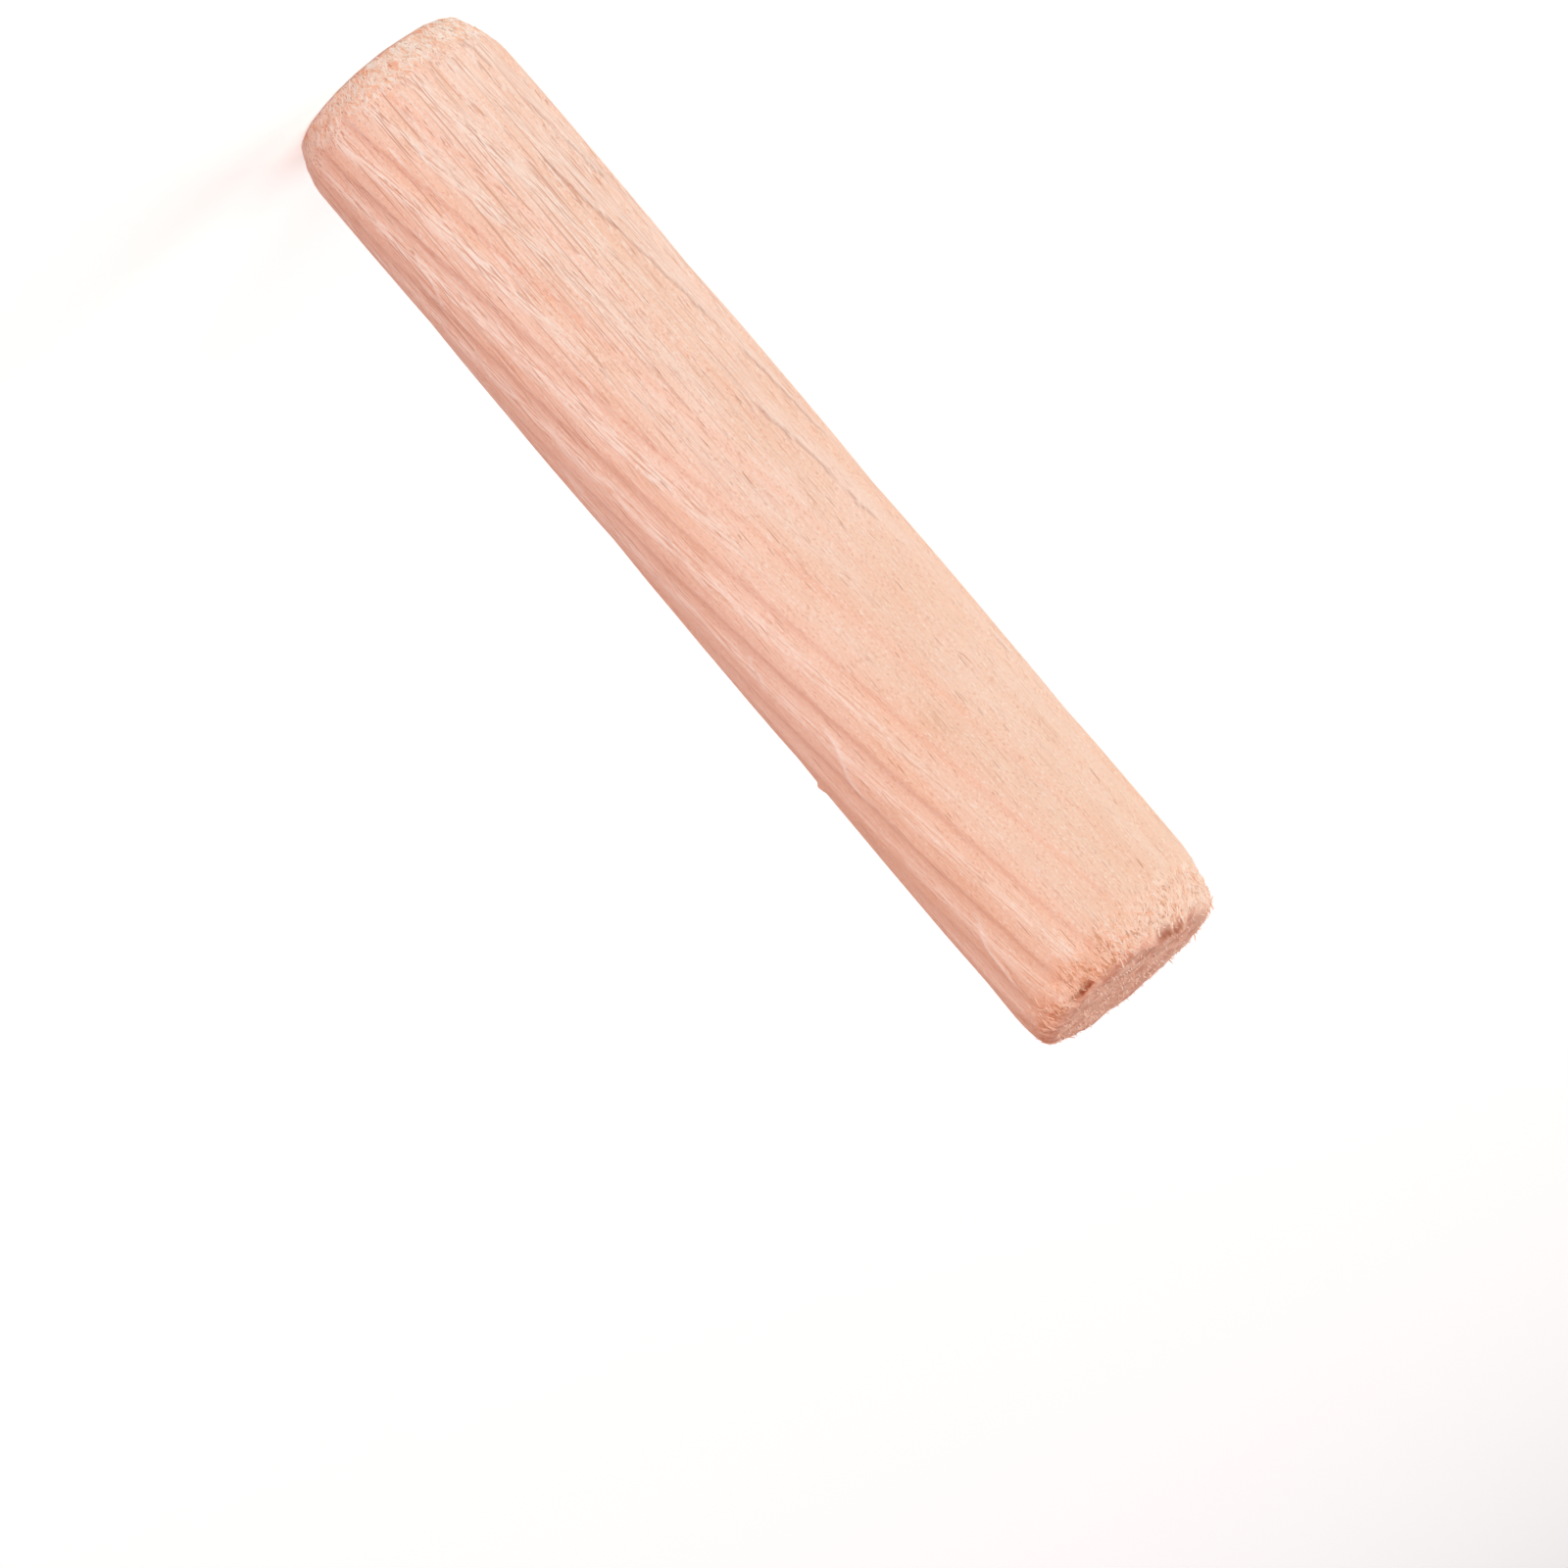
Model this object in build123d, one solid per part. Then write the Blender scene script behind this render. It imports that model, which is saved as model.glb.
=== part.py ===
from build123d import *
import math
import os

# A wooden dowel pin with spiral flutes. It stands on its foot, with its axis along +Z
# and the origin at the middle of the foot's face. All lengths are in millimetres.

# The turned rod, measured over the lands between the flutes
PIN_DIAMETER = 8.0
PIN_LENGTH = 40.0

# Each end narrows to a lead-in that was pressed on, not quite in line with the pin,
# so its cone stands a little towards +X and the taper is longer on the -X side.
FOOT_TAPER_LENGTH = 1.30
FOOT_TAPER_DEPTH = 0.64
FOOT_TAPER_OFFSET = 0.09
HEAD_TAPER_LENGTH = 1.35
HEAD_TAPER_DEPTH = 0.52
HEAD_TAPER_OFFSET = 0.17
RIM_RADIUS = 0.25

# Shallow flutes rolled into the wall, which let glue and air out of the hole: a vee,
# measured to its sharp root, with that root rounded. They turn clockwise as they rise,
# and one whole turn would take the lead.
FLUTE_COUNT = 15
FLUTE_LEAD = 150.0
FLUTE_WIDTH = 1.05
FLUTE_DEPTH = 0.15
FLUTE_ROOT_RADIUS = 1.0
FLUTE_START_ANGLE = 15.7

# Cutting tools reach this far past the pin
OVERRUN = 1.0

PIN_RADIUS = PIN_DIAMETER / 2


def end_taper(length, depth, offset):
    """The ring that a lead-in takes off the foot: all that lies outside its cone."""
    face_radius = PIN_RADIUS - depth
    outer_radius = PIN_RADIUS + OVERRUN
    height = length * (outer_radius - face_radius) / depth
    on_foot = (Align.CENTER, Align.CENTER, Align.MIN)
    cone = Cone(face_radius, outer_radius, height, align=on_foot)
    ring = Cylinder(outer_radius, height, align=on_foot) - Pos(X=offset) * cone
    return ring


def pin_blank():
    """The rod with its two lead-ins and softened rims, before the flutes."""
    rod = Cylinder(PIN_RADIUS, PIN_LENGTH, align=(Align.CENTER, Align.CENTER, Align.MIN))
    foot = end_taper(FOOT_TAPER_LENGTH, FOOT_TAPER_DEPTH, FOOT_TAPER_OFFSET)
    head = end_taper(HEAD_TAPER_LENGTH, HEAD_TAPER_DEPTH, HEAD_TAPER_OFFSET)
    blank = rod - foot - mirror(head, about=Plane.XY.offset(PIN_LENGTH / 2))
    faces = blank.faces().filter_by(Axis.Z)
    return fillet(faces.edges(), RIM_RADIUS)


def flute_tool():
    """One bar that winds up the pin. Its vee is drawn across the pin, below the foot."""
    half_width = FLUTE_WIDTH / 2
    wall_edge = math.sqrt(PIN_RADIUS**2 - half_width**2)
    root = PIN_RADIUS - FLUTE_DEPTH
    back = PIN_RADIUS + FLUTE_DEPTH
    half_back = half_width * (back - root) / (wall_edge - root)
    vee = make_face(Polyline((root, 0), (back, half_back), (back, -half_back), close=True))
    vee = fillet(vee.vertices().sort_by(Axis.X)[0], FLUTE_ROOT_RADIUS)
    path = Helix(
        pitch=FLUTE_LEAD,
        height=PIN_LENGTH + 2 * OVERRUN,
        radius=PIN_RADIUS,
        center=(0, 0, -OVERRUN),
        lefthand=True,
    )
    return sweep(Pos(Z=-OVERRUN) * vee, path=path, is_frenet=True)


def dowel_pin():
    """The blank with its ring of flutes."""
    pin = pin_blank()
    tool = flute_tool()
    lag = 360 * OVERRUN / FLUTE_LEAD
    for index in range(FLUTE_COUNT):
        turn = FLUTE_START_ANGLE + lag + 360 * index / FLUTE_COUNT
        pin -= Rot(Z=turn) * tool
    return pin


os.makedirs("parts", exist_ok=True)
export_step(dowel_pin(), "parts/dowel_pin.step")
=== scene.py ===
import math
import random

import bmesh
import bpy
from mathutils import Matrix, Vector, noise
from mathutils.bvhtree import BVHTree


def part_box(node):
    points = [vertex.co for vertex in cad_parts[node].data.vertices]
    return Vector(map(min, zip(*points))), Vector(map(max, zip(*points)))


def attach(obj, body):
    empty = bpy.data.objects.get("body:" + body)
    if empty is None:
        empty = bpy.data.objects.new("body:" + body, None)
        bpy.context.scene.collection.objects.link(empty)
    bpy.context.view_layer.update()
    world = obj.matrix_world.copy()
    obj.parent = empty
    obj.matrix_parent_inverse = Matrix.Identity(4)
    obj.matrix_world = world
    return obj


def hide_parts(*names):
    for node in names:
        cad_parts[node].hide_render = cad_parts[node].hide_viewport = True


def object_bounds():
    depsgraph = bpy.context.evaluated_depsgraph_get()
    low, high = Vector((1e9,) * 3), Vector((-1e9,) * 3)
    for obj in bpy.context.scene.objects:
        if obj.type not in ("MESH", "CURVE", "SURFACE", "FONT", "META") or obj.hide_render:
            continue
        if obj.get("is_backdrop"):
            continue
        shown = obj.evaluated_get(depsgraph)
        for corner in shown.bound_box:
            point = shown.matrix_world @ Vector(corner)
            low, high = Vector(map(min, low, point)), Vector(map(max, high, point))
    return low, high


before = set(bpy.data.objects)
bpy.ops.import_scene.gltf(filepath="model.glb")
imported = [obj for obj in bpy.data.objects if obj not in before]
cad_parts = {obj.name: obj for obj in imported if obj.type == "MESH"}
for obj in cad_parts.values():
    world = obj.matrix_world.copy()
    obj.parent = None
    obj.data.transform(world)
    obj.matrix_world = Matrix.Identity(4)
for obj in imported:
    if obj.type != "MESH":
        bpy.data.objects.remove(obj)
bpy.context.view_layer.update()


# The pin is one short rod of beech, turned round and then squeezed between ridged rollers, which
# press the spiral flutes into its wall and tear some of their edges. Its lead-ins were crushed on
# when it was chopped to length, so both ends are rough.
MM = 0.001
pin_low, pin_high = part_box("dowel_pin")
PIN_RADIUS = (pin_high.x - pin_low.x) / 2 / MM
PIN_LENGTH = (pin_high.z - pin_low.z) / MM
FOOT_TAPER = {"length": 1.30, "depth": 0.64, "lean": 0.09, "bulge": 0.03, "rim": 0.16}
HEAD_TAPER = {"length": 1.35, "depth": 0.52, "lean": 0.17, "bulge": 0.07, "rim": 0.34}

# The blank is spun from its outline, with the rims' corners rounded. Rows stand close at the ends,
# where the wood is crushed, and its columns follow the flutes once each row is turned.
FLUTE_COUNT = 15
COLUMNS_PER_FLUTE = 22
FOOT_FACE_ROW = 0.60
HEAD_FACE_ROW = 0.13
TAPER_ROW = 0.078
WALL_ROW = 0.21
SHOULDER_REACH = 1.0
RIM_SEGMENTS = 6
ROUND_PROFILE = 0.5
KEEP_MATERIAL = -1
SAME_PLACE = 0.0001

foot_face_radius = PIN_RADIUS - FOOT_TAPER["depth"]
head_face_radius = PIN_RADIUS - HEAD_TAPER["depth"]
foot_shoulder = FOOT_TAPER["length"]
head_shoulder = PIN_LENGTH - HEAD_TAPER["length"]
outline = [
    (0.0, 0.0),
    (foot_face_radius, 0.0),
    (PIN_RADIUS, foot_shoulder),
    (PIN_RADIUS, foot_shoulder + SHOULDER_REACH),
    (PIN_RADIUS, head_shoulder - SHOULDER_REACH),
    (PIN_RADIUS, head_shoulder),
    (head_face_radius, PIN_LENGTH),
    (0.0, PIN_LENGTH),
]
pin = bmesh.new()
corners = [pin.verts.new((radius, 0.0, height)) for radius, height in outline]
for corner, next_corner in zip(corners, corners[1:]):
    pin.edges.new((corner, next_corner))
for corner, taper in ((corners[1], FOOT_TAPER), (corners[-2], HEAD_TAPER)):
    bmesh.ops.bevel(
        pin,
        geom=[corner],
        offset=taper["rim"],
        segments=RIM_SEGMENTS,
        profile=ROUND_PROFILE,
        affect="VERTICES",
        material=KEEP_MATERIAL,
    )
for stretch in pin.edges[:]:
    centre = (stretch.verts[0].co + stretch.verts[1].co) / 2
    from_end = min(centre.z, PIN_LENGTH - centre.z)
    row = WALL_ROW if from_end > PIN_LENGTH / 4 else TAPER_ROW
    if from_end == 0.0:
        row = FOOT_FACE_ROW if centre.z == 0.0 else HEAD_FACE_ROW
    rows = int(stretch.calc_length() / row)
    if rows:
        bmesh.ops.subdivide_edges(pin, edges=[stretch], cuts=rows)
bmesh.ops.spin(
    pin,
    geom=pin.verts[:] + pin.edges[:],
    cent=(0, 0, 0),
    axis=(0, 0, 1),
    angle=math.tau,
    steps=FLUTE_COUNT * COLUMNS_PER_FLUTE,
    use_merge=True,
)
bmesh.ops.remove_doubles(pin, verts=pin.verts[:], dist=SAME_PLACE)
bmesh.ops.recalc_face_normals(pin, faces=pin.faces[:])

# Places on the pin are a height above the foot in millimetres and a bearing in degrees, which is 0
# on the side towards -Y and grows towards +X. A ramp is the pair of values between which something
# comes in.


def out_at(bearing, radius):
    """The x and y of the place that far out from the pin's axis at that bearing."""
    return math.sin(math.radians(bearing)) * radius, -math.cos(math.radians(bearing)) * radius


def round_wall(degrees):
    """That many degrees as millimetres round the wall."""
    return math.radians(degrees) * PIN_RADIUS


def ease(low, high, value):
    """0 below low and 1 above high, with a smooth ramp between."""
    share = min(1.0, max(0.0, (value - low) / (high - low)))
    return share * share * (3 - 2 * share)


def within(low, high, fade, value):
    """1 between low and high and 0 outside, with a smooth ramp at both ends."""
    return ease(low, low + fade, value) * (1 - ease(high - fade, high, value))


def hump(off, width):
    """1 in the middle, falling smoothly to 0 on both sides."""
    return math.exp(-((off / width) ** 2))


# Each flute has a steep side and an easy one, and a crest beside it that takes the burnish and painted
# highlight but is not raised. Its root wavers by some degrees and its depth by some hundredths of a
# millimetre. A noise along a flute is how strong it is, how long its waves are in millimetres, and two
# numbers that keep it apart from the others.
FLUTE_PITCH = 360 / FLUTE_COUNT
FLUTE_TWIST = 2.4
FLUTE_ROOT_BEARING = 8.2
FLUTE_DEPTH = 0.133
FLUTE_STEEP_WALL = 0.37
FLUTE_EASY_WALL = 0.86
FLUTE_EASY_LEAN = 1.3
CREST_PLACE = 0.58
CREST_WIDTH = 0.30
FLUTE_WAVER = [(0.9, 3.2, 7.3, 1.7), (0.36, 0.9, 3.1, 9.2)]
FLUTE_DEPTH_SWAY = [(0.049, 5.0, 5.1, 4.4)]


def flute_noise(noises, number, height):
    """The sum of those noises on that flute, at that height."""
    total = 0.0
    for strength, wave, apart, seed in noises:
        total += strength * noise.noise(Vector((height / wave, number * apart, seed)))
    return total


def flute_at(height, bearing):
    """The nearest flute's number, and how far round the wall the place is from its root."""
    from_first = bearing - FLUTE_ROOT_BEARING + FLUTE_TWIST * height
    nearest = round(from_first / FLUTE_PITCH)
    number = nearest % FLUTE_COUNT
    off = from_first - nearest * FLUTE_PITCH - flute_noise(FLUTE_WAVER, number, height)
    return number, round_wall(off)


# Stretches where a flute's steep edge tore instead of bending: which flute, and from what height to
# what height. Along the tear the wood stands up in a lip, with a gouge beside it.
TORN_EDGES = [
    (-2, 1.0, 8.5),
    (-1, 5.5, 20.0),
    (0, 17.0, 24.6),
    (0, 28.0, 29.6),
    (7, 11.0, 22.0),
    (8, 27.0, 35.0),
    (-5, 9.0, 17.0),
    (-6, 26.0, 33.0),
]
TORN_EDGE_FADE = 0.8
TORN_EDGE_GAPS = [(1.0, 1.1, 5.7, 3.3)]
TORN_EDGE_GAP_RAMP = (-0.35, 0.15)
TORN_EDGE_PLACE = -0.50
TORN_EDGE_RAGGED = [(0.10, 0.5, 2.3, 5.5), (0.07, 0.17, 4.1, 7.5)]
LIP_RAMP = (-0.32, -0.04)
BREAK_RAMP = (-0.03, 0.03)
GOUGE_END_RAMP = (0.04, 0.16)
LIP_HEIGHT = 0.025
GOUGE_DEPTH = 0.04


def torn_edge_at(number, aside, height):
    """How much of a torn edge's lip and of its gouge is there, each from 0 to 1."""
    tear = 0.0
    for torn, low, high in TORN_EDGES:
        if (number - torn) % FLUTE_COUNT == 0:
            gaps = ease(*TORN_EDGE_GAP_RAMP, flute_noise(TORN_EDGE_GAPS, torn, height))
            tear = max(tear, within(low, high, TORN_EDGE_FADE, height) * gaps)
    past_edge = aside - TORN_EDGE_PLACE - flute_noise(TORN_EDGE_RAGGED, number, height)
    broken = ease(*BREAK_RAMP, past_edge)
    lip = tear * ease(*LIP_RAMP, past_edge) * (1 - broken)
    gouge = tear * broken * (1 - ease(*GOUGE_END_RAMP, past_edge))
    return lip, gouge


# Wrinkles that the rollers pushed up across the flutes: start and end, each a height and a bearing
WRINKLES = [
    ((27.2, 42.0), (30.4, 54.0)),
    ((35.2, 47.0), (38.2, 58.5)),
    ((23.6, 50.0), (25.0, 57.0)),
    ((5.7, 45.0), (8.2, 56.0)),
    ((12.0, 118.0), (14.8, 129.0)),
    ((30.0, 150.0), (32.6, 160.0)),
    ((18.5, -120.0), (21.0, -110.0)),
]
WRINKLE_HEIGHT = 0.055
WRINKLE_WIDTH = 0.060
WRINKLE_BEND = 0.10
WRINKLE_BEND_TURN = 9.0


def wrinkle_at(height, bearing):
    """How much a wrinkle lifts the wall there, from 0 to 1."""
    lift = 0.0
    for (low, from_bearing), (high, to_bearing) in WRINKLES:
        run = Vector((high - low, round_wall(to_bearing - from_bearing)))
        gone = Vector((height - low, round_wall(bearing - from_bearing)))
        share = gone.dot(run) / run.length_squared
        if 0 < share < 1:
            bend = WRINKLE_BEND * math.sin(share * WRINKLE_BEND_TURN + low)
            aside = (gone.x * run.y - gone.y * run.x) / run.length + bend
            ends = math.sqrt(math.sin(math.pi * share))
            lift = max(lift, ends * hump(aside, WRINKLE_WIDTH))
    return lift


# Scuffed patches of the wall, each from one height and bearing to another
SCUFFS = [
    ((1.0, -27.0), (3.8, -19.0)),
    ((4.4, -10.0), (8.3, -4.0)),
    ((29.0, -10.0), (30.6, 2.0)),
    ((31.0, -53.0), (33.0, -45.0)),
    ((12.0, 95.0), (15.0, 110.0)),
    ((22.0, -150.0), (26.0, -135.0)),
    ((7.0, 165.0), (11.0, 178.0)),
]
SCUFF_FADE_UP = 0.7
SCUFF_FADE_ROUND = 3.0


def scuff_at(height, bearing):
    """How scuffed the wall is there, from 0 to 1."""
    scuff = 0.0
    for (low, from_bearing), (high, to_bearing) in SCUFFS:
        up = within(low, high, SCUFF_FADE_UP, height)
        scuff = max(scuff, up * within(from_bearing, to_bearing, SCUFF_FADE_ROUND, bearing))
    return scuff


# A splinter's stump stands on the wall, and the wall itself is uneven, along the grain and along the
# flutes. A noise of that kind is how strong it is, and its size across and along in millimetres.
NIB = {"height": 28.3, "bearing": 89.0, "width": 0.22, "reach": 0.20}
GRAIN_WAVES = [(0.014, 1.3, 6.0), (0.006, 0.3, 2.5)]
FLUTE_WAVES = [(0.006, 0.2, 4.0)]


def long_noise(noises, x, y, height):
    """The sum of those noises there, each drawn out along the pin."""
    total = 0.0
    for strength, across, along in noises:
        total += strength * noise.noise(Vector((x / across, y / across, height / along)))
    return total


# The lead-ins are cones that lean and bulge a little, and the crushed fibres leave them lumpy, with
# pits in the head's. Lumps are how strong they are, their size in millimetres and a number that keeps
# them apart from the others.
SHOULDER_ROUNDING = 0.30
FOOT_LUMPS = [(0.05, 1.3, 3.0), (0.035, 0.42, 5.0), (0.022, 0.19, 6.0)]
HEAD_LUMPS = [(0.09, 1.2, 7.0), (0.075, 0.45, 8.0), (0.045, 0.2, 9.0)]
HEAD_PITS = [(1.0, 0.33, 10.0)]
HEAD_PIT_RAMP = (0.12, 0.42)
HEAD_PIT_DEPTH = 0.05


def lumps(kinds, x, y, height):
    """The sum of those lumps there."""
    total = 0.0
    for strength, size, seed in kinds:
        spot = Vector((x / size + seed, y / size - seed, height / size + 2 * seed))
        total += strength * noise.noise(spot)
    return total


def taper_radius(taper, height, bearing):
    """How far a leaning lead-in cone lies from the pin's axis, at a height from that end's face."""
    polar = math.radians(bearing - 90)
    cone = PIN_RADIUS - taper["depth"] + taper["depth"] * height / taper["length"]
    if 0 < height < taper["length"]:
        cone += taper["bulge"] * math.sin(math.pi * height / taper["length"])
    lean = taper["lean"]
    return lean * math.cos(polar) + math.sqrt(cone**2 - (lean * math.sin(polar)) ** 2)


# Cracks in the crushed wood under the head's rim: from bearing, to bearing, height below the rim
HEAD_CRACKS = [(-47.0, -18.0, 0.10), (18.0, 39.0, 0.26)]
CRACK_WIDTH = 0.105
CRACK_DEPTH = 0.20
CRACK_FADE = 5.0
CRACK_STRAY = [(0.09, 0.45, 2.0), (0.06, 0.16, 4.0)]
CRACK_OPENNESS = 0.85
CRACK_BREAKS = [(0.6, 0.3, 13.0)]
CRACK_RIM_RAMP = (0.88, 0.96)


def crack_at(x, y, from_head, bearing):
    """How far a crack is open there, from 0 to about 1."""
    crack = 0.0
    for low, high, below in HEAD_CRACKS:
        off = from_head - below - lumps(CRACK_STRAY, x, y, 0.0)
        open_here = CRACK_OPENNESS + lumps(CRACK_BREAKS, x, y, 0.0)
        crack = max(crack, within(low, high, CRACK_FADE, bearing) * open_here * hump(off, CRACK_WIDTH))
    return crack


# Both faces are sawn. The foot's is nearly flat, and the head's is rough and a little sunk, with a burr
# of torn wood that stands up along part of its rim.
FACE_LUMPS = [(0.08, 0.9, 11.0), (0.040, 0.36, 12.0), (0.014, 0.16, 14.0)]
FOOT_FACE_SHARE = -0.03
HEAD_FACE_SINK = 0.03
HEAD_BURR = {"from": -56.0, "to": -10.0, "fade": 12.0, "height": 0.28}
BURR_RIM_RAMP = (0.78, 0.93)
BURR_FULLNESS = 0.85
BURR_LUMPS = [(0.5, 0.45, 16.0)]
END_GRAIN_STRAY = [(0.12, 0.4, 15.0)]

# Bearings between which a lead-in tore to whitish felt. Between these the foot's is smoother, and the
# head's is only bruised. Both marks come in with the depth that the lead-in takes off the wall.
FOOT_TEARS = [(-84.0, 36.0), (96.0, 256.0)]
HEAD_TEARS = [(-170.0, 2.0), (96.0, 150.0)]
TEAR_FADE = 9.0
TEAR_STRAY = [(8.0, 0.6, 17.0)]
CRUSH_RAMP = (-0.03, 0.10)
BRUISE_RAMP = (-0.25, 0.20)
FELT_LEAST = 0.7

# The crests carry burnish and a painted highlight on two sides, between these bearings, and near the
# foot, and less so higher up. Towards the head the grain is less open and the wood a deeper tan.
BURNISH_HIGHLIGHT_SIDES = [(6.0, 84.0), (150.0, 260.0)]
BURNISH_HIGHLIGHT_FADE = 14.0
BURNISH_HIGHLIGHT_FOOT = 0.7
BURNISH_HIGHLIGHT_FOOT_RAMP = (5.0, 15.0)
BURNISH_HIGHLIGHT_LEAST = 0.15
BURNISH_HIGHLIGHT_LOSS = 0.45
BURNISH_HIGHLIGHT_LOSS_RAMP = (12.0, 30.0)
OPEN_GRAIN_LEAST = 0.22
OPEN_GRAIN_RAMP = (5.0, 26.0)
DEEPER_MOST = 0.34
DEEPER_RAMP = (16.0, 38.0)
# How strongly wrinkles and torn lips are painted with a pale highlight along their ridges
WRINKLE_HIGHLIGHT = 0.9
LIP_HIGHLIGHT = 0.3
# How strongly the gouges beside torn lips are painted with shade
GOUGE_SHADE = 0.36


def from_least(least, share):
    """A share of 0 to 1, made to run from the least to 1."""
    return least + (1 - least) * share


# Each point is pressed to its place, and keeps what the material needs to know of it as marks: how
# burnished and highlit the crests are, where wrinkles and lips get a painted highlight, how scuffed, torn
# or cracked the wood is there, where cracks and gouges get painted shade, and how far it is end grain.
MARKS = (
    "burnish_and_highlight",
    "ridge_highlight",
    "open_grain",
    "deeper",
    "scuffed",
    "felted",
    "torn",
    "bruised",
    "crack",
    "end_grain",
)
unwound = pin.verts.layers.float_vector.new("along_flutes")
marks = {name: pin.verts.layers.float.new(name) for name in MARKS}
for point in pin.verts:
    point[unwound] = point.co * MM
    turned = point.co.copy()
    height = turned.z
    bearing = math.degrees(math.atan2(turned.y, turned.x)) + 90 - FLUTE_TWIST * height
    bearing = (bearing + 180) % 360 - 180
    from_head = PIN_LENGTH - height
    on_foot = height < PIN_LENGTH / 2
    taper = FOOT_TAPER if on_foot else HEAD_TAPER
    from_end = height if on_foot else from_head
    x, y = out_at(bearing, PIN_RADIUS)

    # The wall: flutes, torn edges, wrinkles, the nib and its unevenness
    number, aside = flute_at(height, bearing)
    if aside < 0:
        share = min(1.0, -aside / FLUTE_STEEP_WALL)
    else:
        share = min(1.0, aside / FLUTE_EASY_WALL) ** FLUTE_EASY_LEAN
    depth = FLUTE_DEPTH + flute_noise(FLUTE_DEPTH_SWAY, number, height)
    lip, gouge = torn_edge_at(number, aside, height)
    wrinkle = wrinkle_at(height, bearing)
    nib_off = math.hypot(height - NIB["height"], round_wall(bearing - NIB["bearing"]))
    wall = PIN_RADIUS - depth * (1 + math.cos(math.pi * share)) / 2
    wall += LIP_HEIGHT * lip - GOUGE_DEPTH * gouge + WRINKLE_HEIGHT * wrinkle
    wall += NIB["reach"] * hump(nib_off, NIB["width"])
    wall += long_noise(GRAIN_WAVES, x, y, height)
    wall += long_noise(FLUTE_WAVES, turned.x, turned.y, height)

    # The lead-ins: lumpy cones that meet the wall in a rounded shoulder, with cracks at the head
    foot_cone = taper_radius(FOOT_TAPER, height, bearing) + lumps(FOOT_LUMPS, x, y, height)
    head_cone = taper_radius(HEAD_TAPER, from_head, bearing) + lumps(HEAD_LUMPS, x, y, height)
    head_cone -= HEAD_PIT_DEPTH * ease(*HEAD_PIT_RAMP, lumps(HEAD_PITS, x, y, height))
    cone = min(foot_cone, head_cone)
    cut = wall - cone
    blend = max(0.0, 1 - abs(cut) / SHOULDER_ROUNDING)
    outer = min(wall, cone) - blend**2 * SHOULDER_ROUNDING / 4
    taper_share = max(0.0, min(1.0, from_end / taper["length"]))
    turned_outer = PIN_RADIUS - taper["depth"] * (1 - taper_share)
    rim_share = min(1.0, turned.to_2d().length / turned_outer)
    crack = crack_at(x, y, from_head, bearing) * ease(*CRACK_RIM_RAMP, rim_share)
    x, y = out_at(bearing, rim_share * (outer - CRACK_DEPTH * crack))

    # The sawn faces
    rough = lumps(FACE_LUMPS, x, y, 0.0)
    if on_foot:
        rough *= FOOT_FACE_SHARE
    else:
        burr = within(HEAD_BURR["from"], HEAD_BURR["to"], HEAD_BURR["fade"], bearing)
        burr *= ease(*BURR_RIM_RAMP, rim_share) * HEAD_BURR["height"]
        rough += burr * (BURR_FULLNESS + lumps(BURR_LUMPS, x, y, 0.0)) - HEAD_FACE_SINK
    point.co = Vector((x, y, height + rough * (1 - ease(0.0, taper["rim"], from_end))))

    # The marks
    crushed = ease(*CRUSH_RAMP, cut)
    strayed = bearing + lumps(TEAR_STRAY, x, y, height)
    torn = 0.0
    for low, high in FOOT_TEARS if on_foot else HEAD_TEARS:
        torn = max(torn, within(0.0, high - low, TEAR_FADE, (strayed - low) % 360))
    shows = BURNISH_HIGHLIGHT_FOOT * (1 - ease(*BURNISH_HIGHLIGHT_FOOT_RAMP, height))
    for low, high in BURNISH_HIGHLIGHT_SIDES:
        shows = max(shows, within(low, high, BURNISH_HIGHLIGHT_FADE, bearing % 360))
    # The crests' burnish and painted highlight, strongest between the listed bearings
    burnish_and_highlight = hump(aside - CREST_PLACE, CREST_WIDTH) * from_least(BURNISH_HIGHLIGHT_LEAST, shows)
    burnish_and_highlight *= 1 - BURNISH_HIGHLIGHT_LOSS * ease(*BURNISH_HIGHLIGHT_LOSS_RAMP, height)
    open_grain = from_least(OPEN_GRAIN_LEAST, 1 - ease(*OPEN_GRAIN_RAMP, height))
    sawn_edge = from_end + lumps(END_GRAIN_STRAY, x, y, height)
    point[marks["burnish_and_highlight"]] = burnish_and_highlight * (1 - crushed)
    # Painted highlight along wrinkles and torn lips
    point[marks["ridge_highlight"]] = max(WRINKLE_HIGHLIGHT * wrinkle, LIP_HIGHLIGHT * lip)
    point[marks["open_grain"]] = open_grain * (1 - crushed)
    point[marks["deeper"]] = DEEPER_MOST * ease(*DEEPER_RAMP, height)
    point[marks["scuffed"]] = scuff_at(height, bearing)
    point[marks["felted"]] = crushed * from_least(FELT_LEAST, torn) if on_foot else 0.0
    point[marks["torn"]] = 0.0 if on_foot else crushed * torn
    point[marks["bruised"]] = 0.0 if on_foot else ease(*BRUISE_RAMP, cut) * (1 - torn)
    # Painted shade in the cracks and in the gouges
    point[marks["crack"]] = max(crack, GOUGE_SHADE * gouge)
    point[marks["end_grain"]] = 1 - ease(0.0, taper["rim"], sawn_edge)

bmesh.ops.scale(pin, vec=(MM, MM, MM), verts=pin.verts[:])
pin_surface = BVHTree.FromBMesh(pin)
pin_mesh = bpy.data.meshes.new("rolled_pin")
pin.to_mesh(pin_mesh)
pin.free()
pin_mesh.shade_smooth()
rolled_pin = bpy.data.objects.new("rolled_pin", pin_mesh)
bpy.context.scene.collection.objects.link(rolled_pin)


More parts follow.
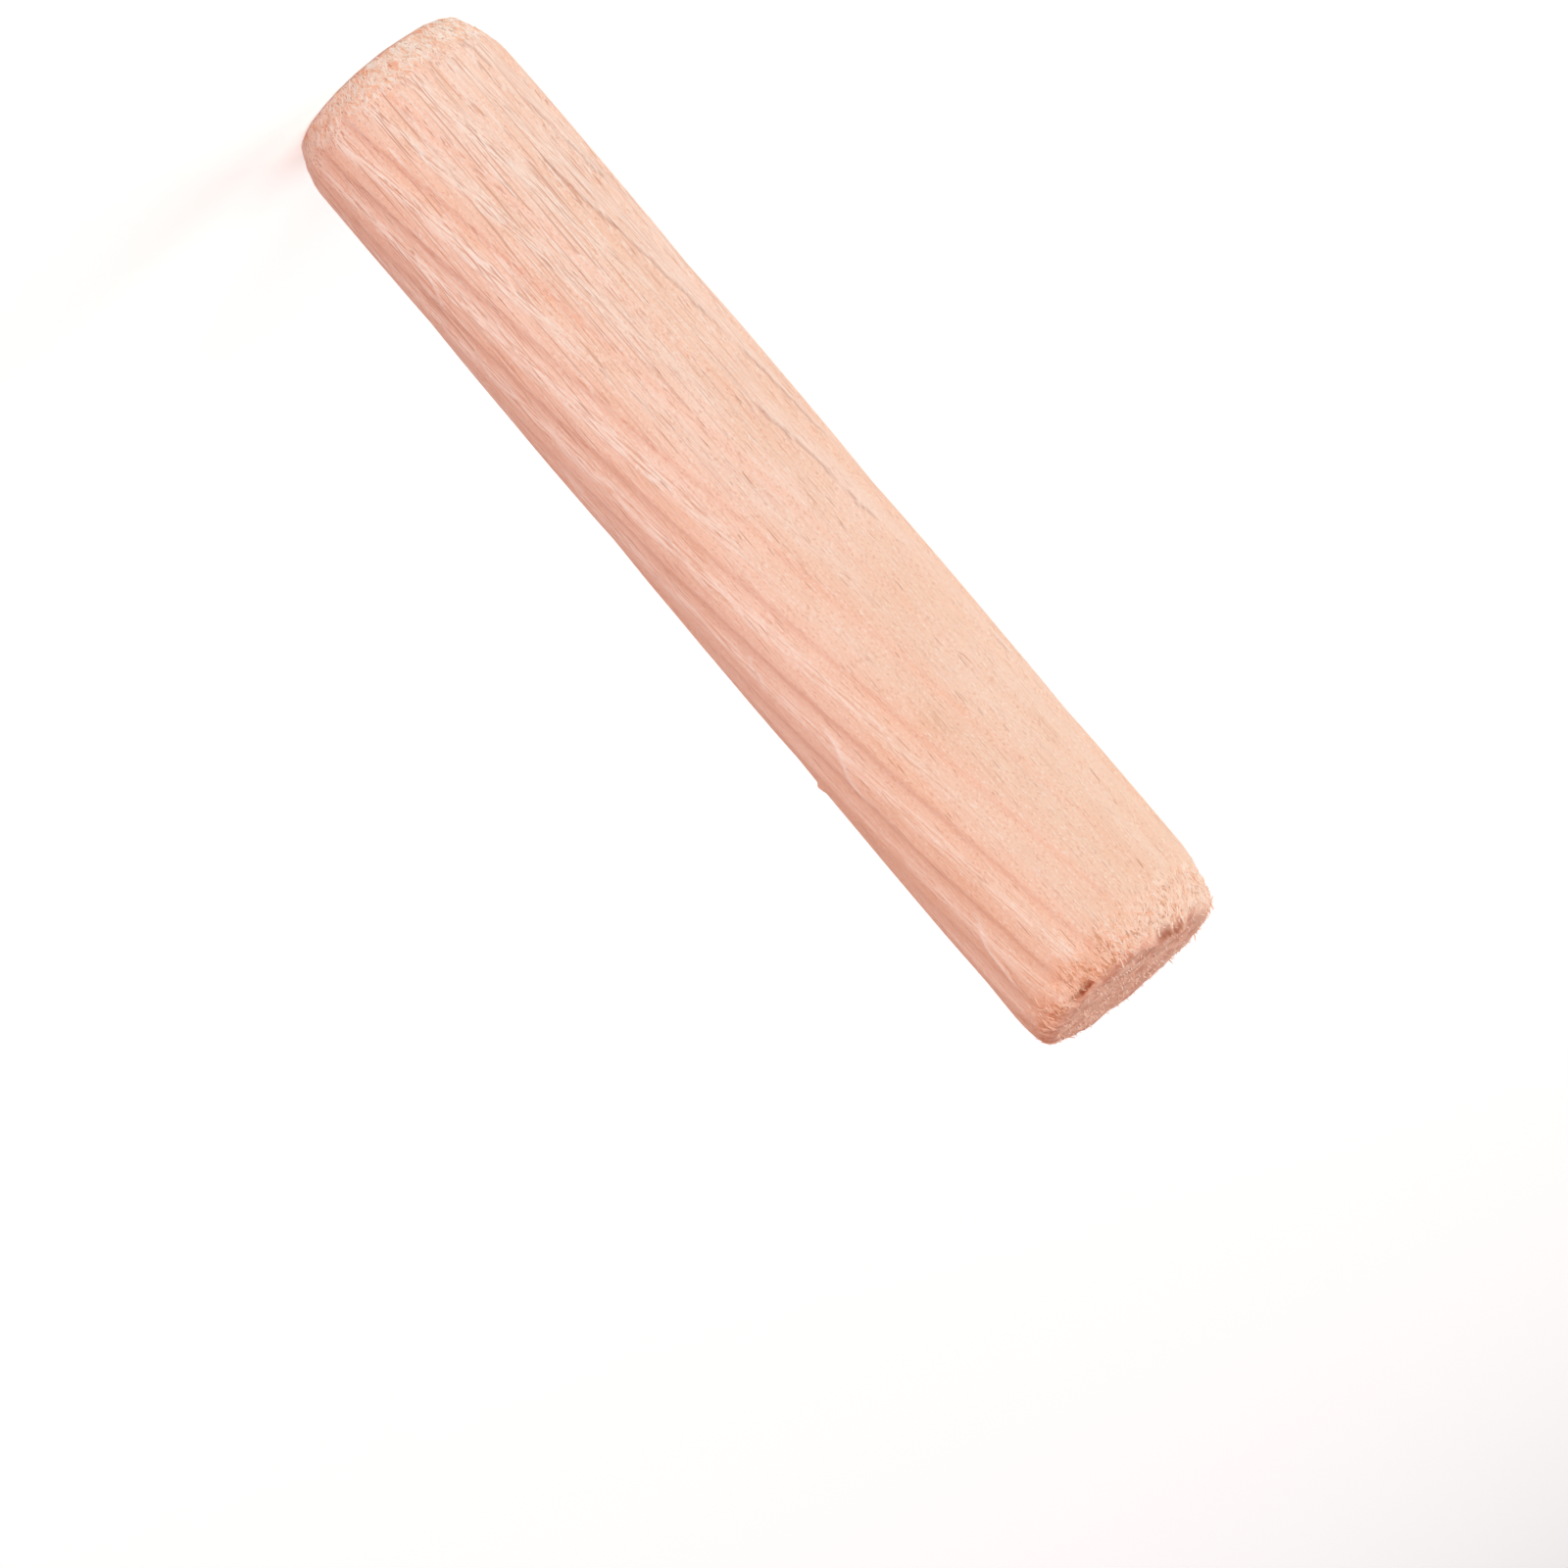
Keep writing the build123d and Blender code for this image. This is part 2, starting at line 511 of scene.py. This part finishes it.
def linear(hex_colour):
    """An sRGB hex colour as linear RGBA."""
    parts = [int(hex_colour[place : place + 2], 16) / 255 for place in (1, 3, 5)]
    return [part / 12.92 if part <= 0.04045 else ((part + 0.055) / 1.055) ** 2.4 for part in parts] + [1.0]


def add_node(tree, kind, inputs=(), **settings):
    """A new node with its settings. Inputs are pairs of a socket and a value or another node's output."""
    node = tree.nodes.new(kind)
    for name, value in settings.items():
        setattr(node, name, value)
    for socket, value in inputs:
        if isinstance(value, bpy.types.NodeSocket):
            tree.links.new(value, node.inputs[socket])
        else:
            node.inputs[socket].default_value = value
    return node


# Bare beech, turned and rolled: a pale pinkish peach, matt, with soft mottling, fine light and dark
# hairlines along the grain, whitish streaks along the crests of the flutes that are partly burnish and
# partly a painted highlight, and a few short dark pores. Wrinkles and torn lips get a painted highlight,
# and cracks and gouges painted shade. The crushed ends are a felt of whitish and orange fibres with
# painted shade between them, bruised brown beside it, and the sawn faces are pinker end grain.
WOOD_PINK = linear("#FBD8C3")
WOOD_PEACH = linear("#F8CEB4")
WOOD_STREAK = linear("#F4C5A8")
WOOD_TAN = linear("#EFC5A3")
WOOD_DARK_FIBRE = linear("#CC8258")
WOOD_PALE_FIBRE_AND_HIGHLIGHT = linear("#FFF3EA")
WOOD_PORE = linear("#B06C48")
WOOD_SCUFF = linear("#DCA988")
WOOD_TORN = linear("#FFE2CE")
WOOD_FELT = linear("#FFF5EA")
WOOD_CRUSHED = linear("#F2B08A")
WOOD_BRUISE = linear("#E9A884")
WOOD_GAP_SHADE_AND_LINE = linear("#C98A62")
WOOD_END_GRAIN = linear("#FFCCB4")
WOOD_END_GAP = linear("#D07A5C")
WOOD_CRACK_SHADE = linear("#A04E2C")
WOOD_ROUGHNESS = 0.7
WOOD_SHINE = 0.25

beech = bpy.data.materials.new("rolled_beech")
beech.use_nodes = True
tree = beech.node_tree
shader = tree.nodes["Principled BSDF"]
shader.inputs["Roughness"].default_value = WOOD_ROUGHNESS
shader.inputs["Specular IOR Level"].default_value = WOOD_SHINE
place = add_node(tree, "ShaderNodeTexCoord").outputs["Object"]
flute_place = add_node(tree, "ShaderNodeAttribute", attribute_name="along_flutes").outputs["Vector"]
shown = {name: add_node(tree, "ShaderNodeAttribute", attribute_name=name).outputs["Fac"] for name in MARKS}

# Patterns of the grain: what they follow, their size in millimetres across and along, how many finer
# octaves they have and how ragged they are. The hairlines are drawn 0.05 mm wide, wider than real
# fibres, so that they still show.
GRAIN = {
    "mottle": (place, 1.8, 7.0, 2.0, 0.0),
    "streaks": (place, 0.30, 9.0, 2.0, 0.0),
    "fibres": (place, 0.05, 3.0, 1.0, 0.0),
    "hairs": (place, 0.05, 2.6, 1.0, 0.0),
    "crests": (flute_place, 0.05, 1.4, 1.0, 0.0),
    "specks": (place, 0.06, 0.12, 1.0, 0.0),
    "pores": (place, 0.05, 1.0, 0.0, 0.0),
    "seams": (place, 0.055, 5.0, 0.0, 0.0),
    "felt": (place, 0.10, 0.3, 3.0, 0.6),
    "patches": (place, 0.9, 0.9, 2.0, 0.0),
    "ends": (place, 0.60, 0.60, 3.0, 0.0),
    "wavy": (place, 0.10, 0.9, 2.0, 0.8),
}
patterns = {}
for name, (follows, across, along, detail, ragged) in GRAIN.items():
    scale = (1 / (across * MM), 1 / (across * MM), 1 / (along * MM))
    stretched = add_node(tree, "ShaderNodeMapping", [("Vector", follows), ("Scale", scale)])
    texture = add_node(
        tree,
        "ShaderNodeTexNoise",
        [("Vector", stretched.outputs[0]), ("Scale", 1.0), ("Detail", detail), ("Distortion", ragged)],
    )
    patterns[name] = texture.outputs["Fac"]

# Colours laid one over the other: the pattern that lays it on, the values of the pattern between which
# it comes in, how strongly, the mark that it keeps to, and the colour. Without a pattern the mark
# alone lays it on. Where the first value is the higher one, the pattern's low places get the colour.
LAYERS = [
    ("mottle", 0.40, 0.66, 0.85, None, WOOD_PEACH),
    ("streaks", 0.50, 0.72, 0.25, None, WOOD_STREAK),
    (None, None, None, None, "deeper", WOOD_TAN),
    ("fibres", 0.61, 0.68, 0.66, "open_grain", WOOD_DARK_FIBRE),
    ("hairs", 0.57, 0.64, 0.60, "open_grain", WOOD_PALE_FIBRE_AND_HIGHLIGHT),
    ("specks", 0.58, 0.70, 0.46, None, WOOD_PALE_FIBRE_AND_HIGHLIGHT),
    ("specks", 0.40, 0.30, 0.32, None, WOOD_DARK_FIBRE),
    # Burnish and painted highlight along the crests, with dark hairlines between
    ("crests", 0.30, 0.62, 0.48, "burnish_and_highlight", WOOD_PALE_FIBRE_AND_HIGHLIGHT),
    ("crests", 0.55, 0.63, 0.65, "burnish_and_highlight", WOOD_PALE_FIBRE_AND_HIGHLIGHT),
    ("crests", 0.45, 0.37, 0.55, "burnish_and_highlight", WOOD_DARK_FIBRE),
    ("specks", 0.56, 0.68, 0.30, "burnish_and_highlight", WOOD_PALE_FIBRE_AND_HIGHLIGHT),
    ("seams", 0.54, 0.60, 0.40, "open_grain", WOOD_PALE_FIBRE_AND_HIGHLIGHT),
    ("seams", 0.64, 0.69, 0.60, "open_grain", WOOD_DARK_FIBRE),
    # Painted highlight on the wrinkles and torn lips
    (None, None, None, None, "ridge_highlight", WOOD_PALE_FIBRE_AND_HIGHLIGHT),
    ("pores", 0.76, 0.82, 0.6, None, WOOD_PORE),
    ("fibres", 0.38, 0.66, 0.5, "scuffed", WOOD_SCUFF),
    ("patches", 0.20, 0.40, 0.85, "felted", WOOD_FELT),
    ("patches", 0.54, 0.64, 0.75, "felted", WOOD_CRUSHED),
    # Painted shade between the felt's fibres at the foot
    ("felt", 0.52, 0.64, 0.65, "felted", WOOD_GAP_SHADE_AND_LINE),
    ("patches", 0.20, 0.40, 0.7, "torn", WOOD_TORN),
    ("patches", 0.56, 0.68, 0.7, "torn", WOOD_CRUSHED),
    ("patches", 0.25, 0.55, 0.85, "bruised", WOOD_BRUISE),
    # Painted shade between the torn felt's fibres at the head
    ("felt", 0.50, 0.62, 0.65, "torn", WOOD_GAP_SHADE_AND_LINE),
    # Wavy light and dark lines in the bruise; the dark ones take the gap shade's colour
    ("wavy", 0.47, 0.38, 0.8, "bruised", WOOD_PINK),
    ("wavy", 0.54, 0.62, 0.8, "bruised", WOOD_GAP_SHADE_AND_LINE),
    ("ends", 0.05, 0.30, 0.9, "end_grain", WOOD_END_GRAIN),
    ("ends", 0.40, 0.74, 0.60, "end_grain", WOOD_END_GAP),
    # Painted shade in the cracks and gouges
    (None, None, None, None, "crack", WOOD_CRACK_SHADE),
]

# A colour mix has several sockets of one name, so they go by number
MIX_SHARE = 0
MIX_UNDER = 6
MIX_OVER = 7
MIX_RESULT = 2
colour = WOOD_PINK
for pattern, low, high, strength, mark, over in LAYERS:
    if pattern is None:
        share = shown[mark]
    else:
        ramp = add_node(
            tree,
            "ShaderNodeMapRange",
            [("Value", patterns[pattern]), ("From Min", low), ("From Max", high), ("To Max", strength)],
            interpolation_type="SMOOTHSTEP",
        )
        share = ramp.outputs["Result"]
        if mark:
            kept = add_node(tree, "ShaderNodeMath", [(0, share), (1, shown[mark])], operation="MULTIPLY")
            share = kept.outputs[0]
    mixed = add_node(
        tree, "ShaderNodeMix", [(MIX_SHARE, share), (MIX_UNDER, colour), (MIX_OVER, over)], data_type="RGBA"
    )
    colour = mixed.outputs[MIX_RESULT]
tree.links.new(colour, shader.inputs["Base Color"])

# How far the fibres, the crests' streaks and the torn or bruised felt stand out, in millimetres
FIBRE_RELIEF = 0.010
CREST_RELIEF = 0.015
FELT_RELIEF = 0.05
raised = add_node(tree, "ShaderNodeBump", [("Height", patterns["fibres"]), ("Distance", FIBRE_RELIEF * MM)])
raised = add_node(
    tree,
    "ShaderNodeBump",
    [("Height", patterns["crests"]), ("Distance", CREST_RELIEF * MM), ("Normal", raised.outputs[0])],
)
mauled = add_node(tree, "ShaderNodeMath", [(0, shown["torn"]), (1, shown["bruised"])], operation="MAXIMUM")
raised = add_node(
    tree,
    "ShaderNodeBump",
    [
        ("Height", patterns["felt"]),
        ("Strength", mauled.outputs[0]),
        ("Distance", FELT_RELIEF * MM),
        ("Normal", raised.outputs[0]),
    ],
)
tree.links.new(raised.outputs[0], shader.inputs["Normal"])
rolled_pin.data.materials.append(beech)
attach(rolled_pin, "root")
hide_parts("dowel_pin")


# Torn fibres of the same wood still hang on both ends: a felt of them lies on each lead-in where it
# was crushed, and short fuzz that the saw left stands on the head's face.
# Each is a slip of four sides that tapers to its free end.
FIBRE_SEED = 7
SLIP_SIDES = 4
SLIP_TIP_SHARE = 1 / 3
SLIP_MIDDLE = 0.42
UP = Vector((0.0, 0.0, 1.0))

# Patches of felt: how many slips, and then the least and the most of their heights, bearings, lengths,
# widths and paleness
FIBRE_PATCHES = [
    (560, (0.06, 1.25), (-76.0, 26.0), (0.18, 0.42), (0.05, 0.09), (0.0, 1.0)),
    (110, (0.06, 0.90), (20.0, 54.0), (0.15, 0.30), (0.04, 0.07), (0.0, 1.0)),
    (520, (0.06, 1.25), (98.0, 254.0), (0.18, 0.42), (0.05, 0.09), (0.0, 1.0)),
    (300, (38.55, 39.88), (-62.0, 2.0), (0.15, 0.36), (0.05, 0.09), (0.1, 0.7)),
    (120, (38.70, 39.72), (-2.0, 66.0), (0.15, 0.40), (0.04, 0.07), (0.0, 0.4)),
    (360, (38.55, 39.88), (-168.0, -62.0), (0.15, 0.36), (0.05, 0.09), (0.1, 0.7)),
    (190, (38.55, 39.88), (98.0, 150.0), (0.15, 0.36), (0.05, 0.09), (0.1, 0.7)),
]
FIBRE_TURN = 65.0
FIBRE_RISE = 5.0
FIBRE_DOWN_SHARE = 0.5
HEAD_FUZZ_COUNT = 320
HEAD_FUZZ_LENGTHS = (0.06, 0.15)
HEAD_FUZZ_WIDTHS = (0.03, 0.05)
HEAD_FUZZ_PALENESS = (0.0, 0.8)
HEAD_FUZZ_SPREAD = 0.45

rng = random.Random(FIBRE_SEED)
slips = bmesh.new()
pale_mark = slips.verts.layers.float.new("pale")


def add_slip(spot, way, lengths, widths, pale):
    """One slip of wood that stands on that spot and points that way."""
    length = rng.uniform(*lengths) * MM
    width = rng.uniform(*widths) * MM
    lie = way.to_track_quat("Z", "Y").to_matrix().to_4x4()
    made = bmesh.ops.create_cone(
        slips,
        cap_ends=True,
        segments=SLIP_SIDES,
        radius1=width / 2,
        radius2=width / 2 * SLIP_TIP_SHARE,
        depth=length,
        matrix=Matrix.Translation(spot + way * length * SLIP_MIDDLE) @ lie,
    )
    for point in made["verts"]:
        point[pale_mark] = pale


for count, heights, bearings, lengths, widths, paleness in FIBRE_PATCHES:
    for _ in range(count):
        outward = Vector((*out_at(rng.uniform(*bearings), 1.0), 0.0))
        height = rng.uniform(*heights)
        start = (outward * 2 * PIN_RADIUS + UP * height) * MM
        spot, normal, _, _ = pin_surface.ray_cast(start, -outward)
        turn = math.radians(rng.triangular(-FIBRE_TURN, FIBRE_TURN))
        rise = math.radians(rng.uniform(0.0, FIBRE_RISE))
        side = normal.cross(UP).normalized()
        along = side.cross(normal).normalized()
        along = along * math.cos(turn) + side * math.sin(turn)
        if rng.random() < FIBRE_DOWN_SHARE and spot.z > max(lengths) * MM:
            along = -along
        way = along * math.cos(rise) + normal * math.sin(rise)
        add_slip(spot, way, lengths, widths, rng.uniform(*paleness))
for _ in range(HEAD_FUZZ_COUNT):
    bearing = rng.uniform(-180, 180)
    radius = head_face_radius * math.sqrt(rng.random())
    start = Vector((*out_at(bearing, radius), 2 * PIN_LENGTH)) * MM
    spot, _, _, _ = pin_surface.ray_cast(start, -UP)
    way = Vector((rng.gauss(0.0, HEAD_FUZZ_SPREAD), rng.gauss(0.0, HEAD_FUZZ_SPREAD), 1.0)).normalized()
    add_slip(spot, way, HEAD_FUZZ_LENGTHS, HEAD_FUZZ_WIDTHS, rng.uniform(*HEAD_FUZZ_PALENESS))
bmesh.ops.recalc_face_normals(slips, faces=slips.faces[:])
fibre_mesh = bpy.data.meshes.new("torn_fibres")
slips.to_mesh(fibre_mesh)
slips.free()
torn_fibres = bpy.data.objects.new("torn_fibres", fibre_mesh)
bpy.context.scene.collection.objects.link(torn_fibres)

# Torn beech fibres: whitish to peach, paler than the wall because light shines through them.
FIBRE_PALE = linear("#FFFAF4")
FIBRE_PEACH = linear("#F9CBAA")

fuzz = bpy.data.materials.new("torn_beech_fibre")
fuzz.use_nodes = True
tree = fuzz.node_tree
shader = tree.nodes["Principled BSDF"]
shader.inputs["Roughness"].default_value = WOOD_ROUGHNESS
shader.inputs["Specular IOR Level"].default_value = WOOD_SHINE
pale = add_node(tree, "ShaderNodeAttribute", attribute_name="pale").outputs["Fac"]
mixed = add_node(
    tree,
    "ShaderNodeMix",
    [(MIX_SHARE, pale), (MIX_UNDER, FIBRE_PEACH), (MIX_OVER, FIBRE_PALE)],
    data_type="RGBA",
)
tree.links.new(mixed.outputs[MIX_RESULT], shader.inputs["Base Color"])
torn_fibres.data.materials.append(fuzz)
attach(torn_fibres, "root")


# The floor is a wide sheet of matt white card that the pin stands on. It shows white to the camera
# and keeps the pin's shadow.
FLOOR_WIDTH = 6.0
FLOOR_WHITE = linear("#F2F2F2")
FLOOR_GLOW = 0.52

card = bmesh.new()
bmesh.ops.create_grid(card, x_segments=1, y_segments=1, size=FLOOR_WIDTH / 2)
floor_mesh = bpy.data.meshes.new("floor")
card.to_mesh(floor_mesh)
card.free()
floor = bpy.data.objects.new("floor", floor_mesh)
bpy.context.scene.collection.objects.link(floor)
white_card = bpy.data.materials.new("white_card")
white_card.use_nodes = True
tree = white_card.node_tree
tree.nodes.remove(tree.nodes["Principled BSDF"])
rays = add_node(tree, "ShaderNodeLightPath").outputs
seen = rays["Is Camera Ray"]
for kind in ("Is Glossy Ray", "Is Transmission Ray"):
    seen = add_node(tree, "ShaderNodeMath", [(0, seen), (1, rays[kind])], operation="MAXIMUM").outputs[0]
glow = add_node(tree, "ShaderNodeMath", [(0, seen), (1, FLOOR_GLOW)], operation="MULTIPLY")
lit = add_node(tree, "ShaderNodeBsdfDiffuse", [("Color", FLOOR_WHITE)])
glowing = add_node(tree, "ShaderNodeEmission", [("Strength", glow.outputs[0])])
both = add_node(tree, "ShaderNodeAddShader", [(0, lit.outputs[0]), (1, glowing.outputs[0])])
tree.links.new(both.outputs[0], tree.nodes["Material Output"].inputs["Surface"])
floor.data.materials.append(white_card)
floor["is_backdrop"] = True


# Soft studio light: an even, slightly warm room, one large soft lamp beside the camera, one behind and
# to the side, and a weak warm one that fills the side away from both, where the flutes shade.
# A lamp is a name, a bearing, an elevation, how brightly it lights the pin, and a colour.
ROOM_COLOUR = linear("#FFF3ED")
ROOM_LEVEL = 0.08
LAMP_DISTANCE = 0.8
LAMP_WIDTH = 1.0
LAMPS = [
    ("front_lamp", -15.0, 20.0, 1.04, "#FFFFFF"),
    ("side_lamp", -120.0, 20.0, 1.02, "#FFFFFF"),
    ("fill_lamp", 70.0, 20.0, 0.57, "#FFB1A3"),
]

room = bpy.data.worlds.new("studio")
room.use_nodes = True
room.node_tree.nodes["Background"].inputs["Color"].default_value = ROOM_COLOUR
room.node_tree.nodes["Background"].inputs["Strength"].default_value = ROOM_LEVEL
bpy.context.scene.world = room
pin_middle = UP * PIN_LENGTH / 2 * MM
for name, bearing, elevation, level, lamp_colour in LAMPS:
    lamp = bpy.data.lights.new(name, "AREA")
    lamp.shape = "SQUARE"
    lamp.size = LAMP_WIDTH
    lamp.color = linear(lamp_colour)[:3]
    lamp.energy = level * (math.pi * LAMP_DISTANCE) ** 2
    stand = bpy.data.objects.new(name, lamp)
    bpy.context.scene.collection.objects.link(stand)
    level_reach = math.cos(math.radians(elevation))
    way = Vector((*out_at(bearing, level_reach), math.sin(math.radians(elevation))))
    stand.location = pin_middle + way * LAMP_DISTANCE
    stand.rotation_euler = way.to_track_quat("Z", "Y").to_euler()
bpy.context.scene.view_settings.view_transform = "Standard"


# The camera looks slightly down on the head, turned so that the pin slants across the picture with
# its head at the lower right. The picture is in pixels, the distance in millimetres.
PICTURE_SIZE = 1600
PIN_MIDDLE_PIXEL = (770.4, 535.4)
PIXELS_PER_MM = 30.35
CAMERA_DISTANCE = 400.0
CAMERA_ELEVATION = 9.85
PIN_SLOPE = 49.889
SENSOR_WIDTH = 36.0
NEAREST_SEEN = 0.01
FARTHEST_SEEN = 20.0

camera_data = bpy.data.cameras.new("camera")
camera_data.sensor_width = SENSOR_WIDTH
focal_pixels = PIXELS_PER_MM * CAMERA_DISTANCE
camera_data.lens = focal_pixels / PICTURE_SIZE * SENSOR_WIDTH
camera_data.clip_start = NEAREST_SEEN
camera_data.clip_end = FARTHEST_SEEN
camera = bpy.data.objects.new("camera", camera_data)
bpy.context.scene.collection.objects.link(camera)
look = Matrix.Rotation(math.radians(90 - CAMERA_ELEVATION), 4, "X")
look = look @ Matrix.Rotation(math.radians(90 + PIN_SLOPE), 4, "Z")
pixel_x, pixel_y = PIN_MIDDLE_PIXEL
to_pin = Vector((pixel_x - PICTURE_SIZE / 2, PICTURE_SIZE / 2 - pixel_y, -focal_pixels)).normalized()
camera.matrix_world = Matrix.Translation(pin_middle - look @ to_pin * CAMERA_DISTANCE * MM) @ look
bpy.context.scene.camera = camera

low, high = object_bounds()
